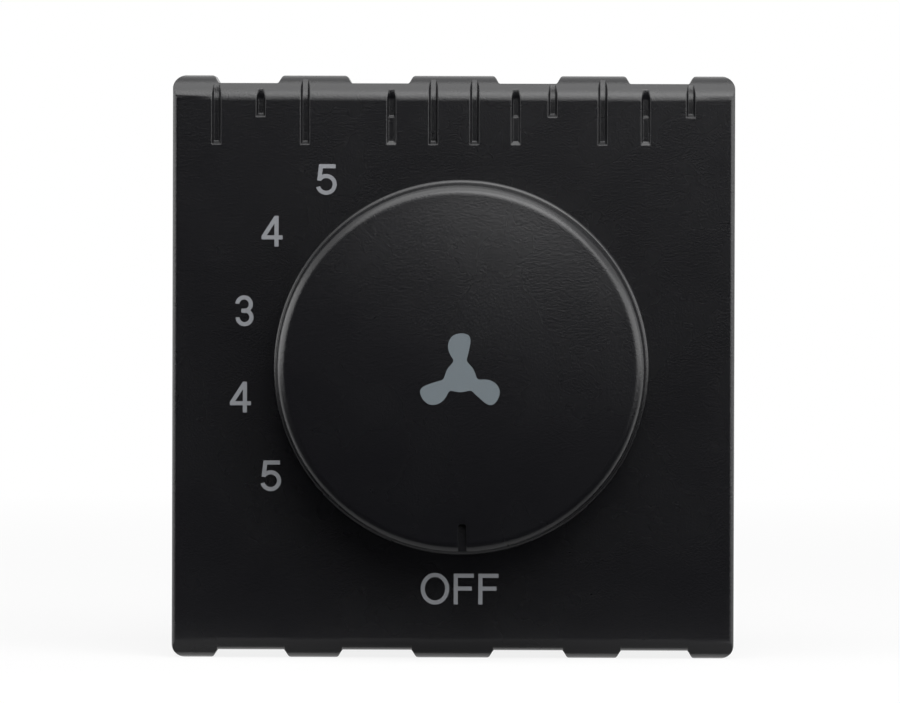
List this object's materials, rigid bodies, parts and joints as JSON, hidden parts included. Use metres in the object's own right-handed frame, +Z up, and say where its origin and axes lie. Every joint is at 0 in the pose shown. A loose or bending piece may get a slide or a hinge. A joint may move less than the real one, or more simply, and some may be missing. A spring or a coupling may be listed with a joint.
{
  "type": "fan speed control switch",
  "caption": "Square wall module with a round turning knob for fan speed, castellated grooved edges and screw terminals at the back.",
  "frame": {"origin": "middle of the module on the plane where the cover's rim seats on the support frame", "axes": "+Y into the wall, +Z up, +X to the right seen from the front"},
  "size_m": [0.045, 0.044, 0.0466],
  "materials": {
    "cover_plastic": "black ABS, fine spark-eroded texture",
    "knob_plastic": "black ABS, fine spark-eroded texture",
    "housing_plastic": "charcoal polycarbonate, moulded",
    "terminal_plastic": "light grey polyamide, moulded",
    "switch_plastic": "brown phenolic moulding",
    "rotor_plastic": "natural nylon",
    "board": "paper-phenolic board",
    "capacitor_case": "potted plastic case",
    "resistor_coat": "flameproof lacquer on ceramic",
    "plated_screw": "zinc-plated steel",
    "spring_steel": "bright spring strip",
    "plated_brass": "nickel-plated brass",
    "contact_brass": "plain brass"
  },
  "bodies": {
    "housing": {"front_cover": "cover_plastic", "rear_housing": "housing_plastic", "housing_screws": "plated_screw", "circuit_board": "board", "capacitor_large": "capacitor_case", "capacitor_small": "capacitor_case", "surge_resistor": "resistor_coat", "bleed_resistors": "resistor_coat", "terminal_block": "terminal_plastic", "terminal_pins": "plated_brass", "switch_base": "switch_plastic", "switch_cover": "switch_plastic", "switch_rivets": "contact_brass", "fixed_contacts": "contact_brass", "common_contact": "contact_brass", "detent_spring": "spring_steel"},
    "knob_group": {"knob": "knob_plastic", "knob_spring": "spring_steel", "rotor": "rotor_plastic", "wiper_contact": "contact_brass"},
    "terminal_screw_left": {"terminal_screw_1": "plated_screw"},
    "terminal_screw_right": {"terminal_screw_2": "plated_screw"},
    "terminal_cage_left": {"terminal_cage_1": "plated_brass"},
    "terminal_cage_right": {"terminal_cage_2": "plated_brass"}
  },
  "joints": [
    {"name": "knob_turn", "type": "hinge", "parent": "housing", "child": "knob_group", "pos_m": [0.00065, 0, 0], "axis": [0, 1, 0], "range_deg": [0, 144], "deforming": ["detent_spring"]},
    {"name": "terminal_screw_left_turn", "type": "hinge", "parent": "housing", "child": "terminal_screw_left", "pos_m": [-0.005, 0.01805, -0.01759], "axis": [0, 0, 1], "range_deg": [0, 1800]},
    {"name": "terminal_cage_left_rise", "type": "slide", "parent": "housing", "child": "terminal_cage_left", "axis": [0, 0, -1], "range_m": [0, 0.0025]},
    {"name": "terminal_screw_right_turn", "type": "hinge", "parent": "housing", "child": "terminal_screw_right", "pos_m": [0.005, 0.01805, -0.01759], "axis": [0, 0, 1], "range_deg": [0, 1800]},
    {"name": "terminal_cage_right_rise", "type": "slide", "parent": "housing", "child": "terminal_cage_right", "axis": [0, 0, -1], "range_m": [0, 0.0025]}
  ],
  "couplings": [
    {"joint": "terminal_screw_left_turn", "follows": "terminal_cage_left_rise", "rad_per_m": 12566},
    {"joint": "terminal_screw_right_turn", "follows": "terminal_cage_right_rise", "rad_per_m": 12566}
  ]
}
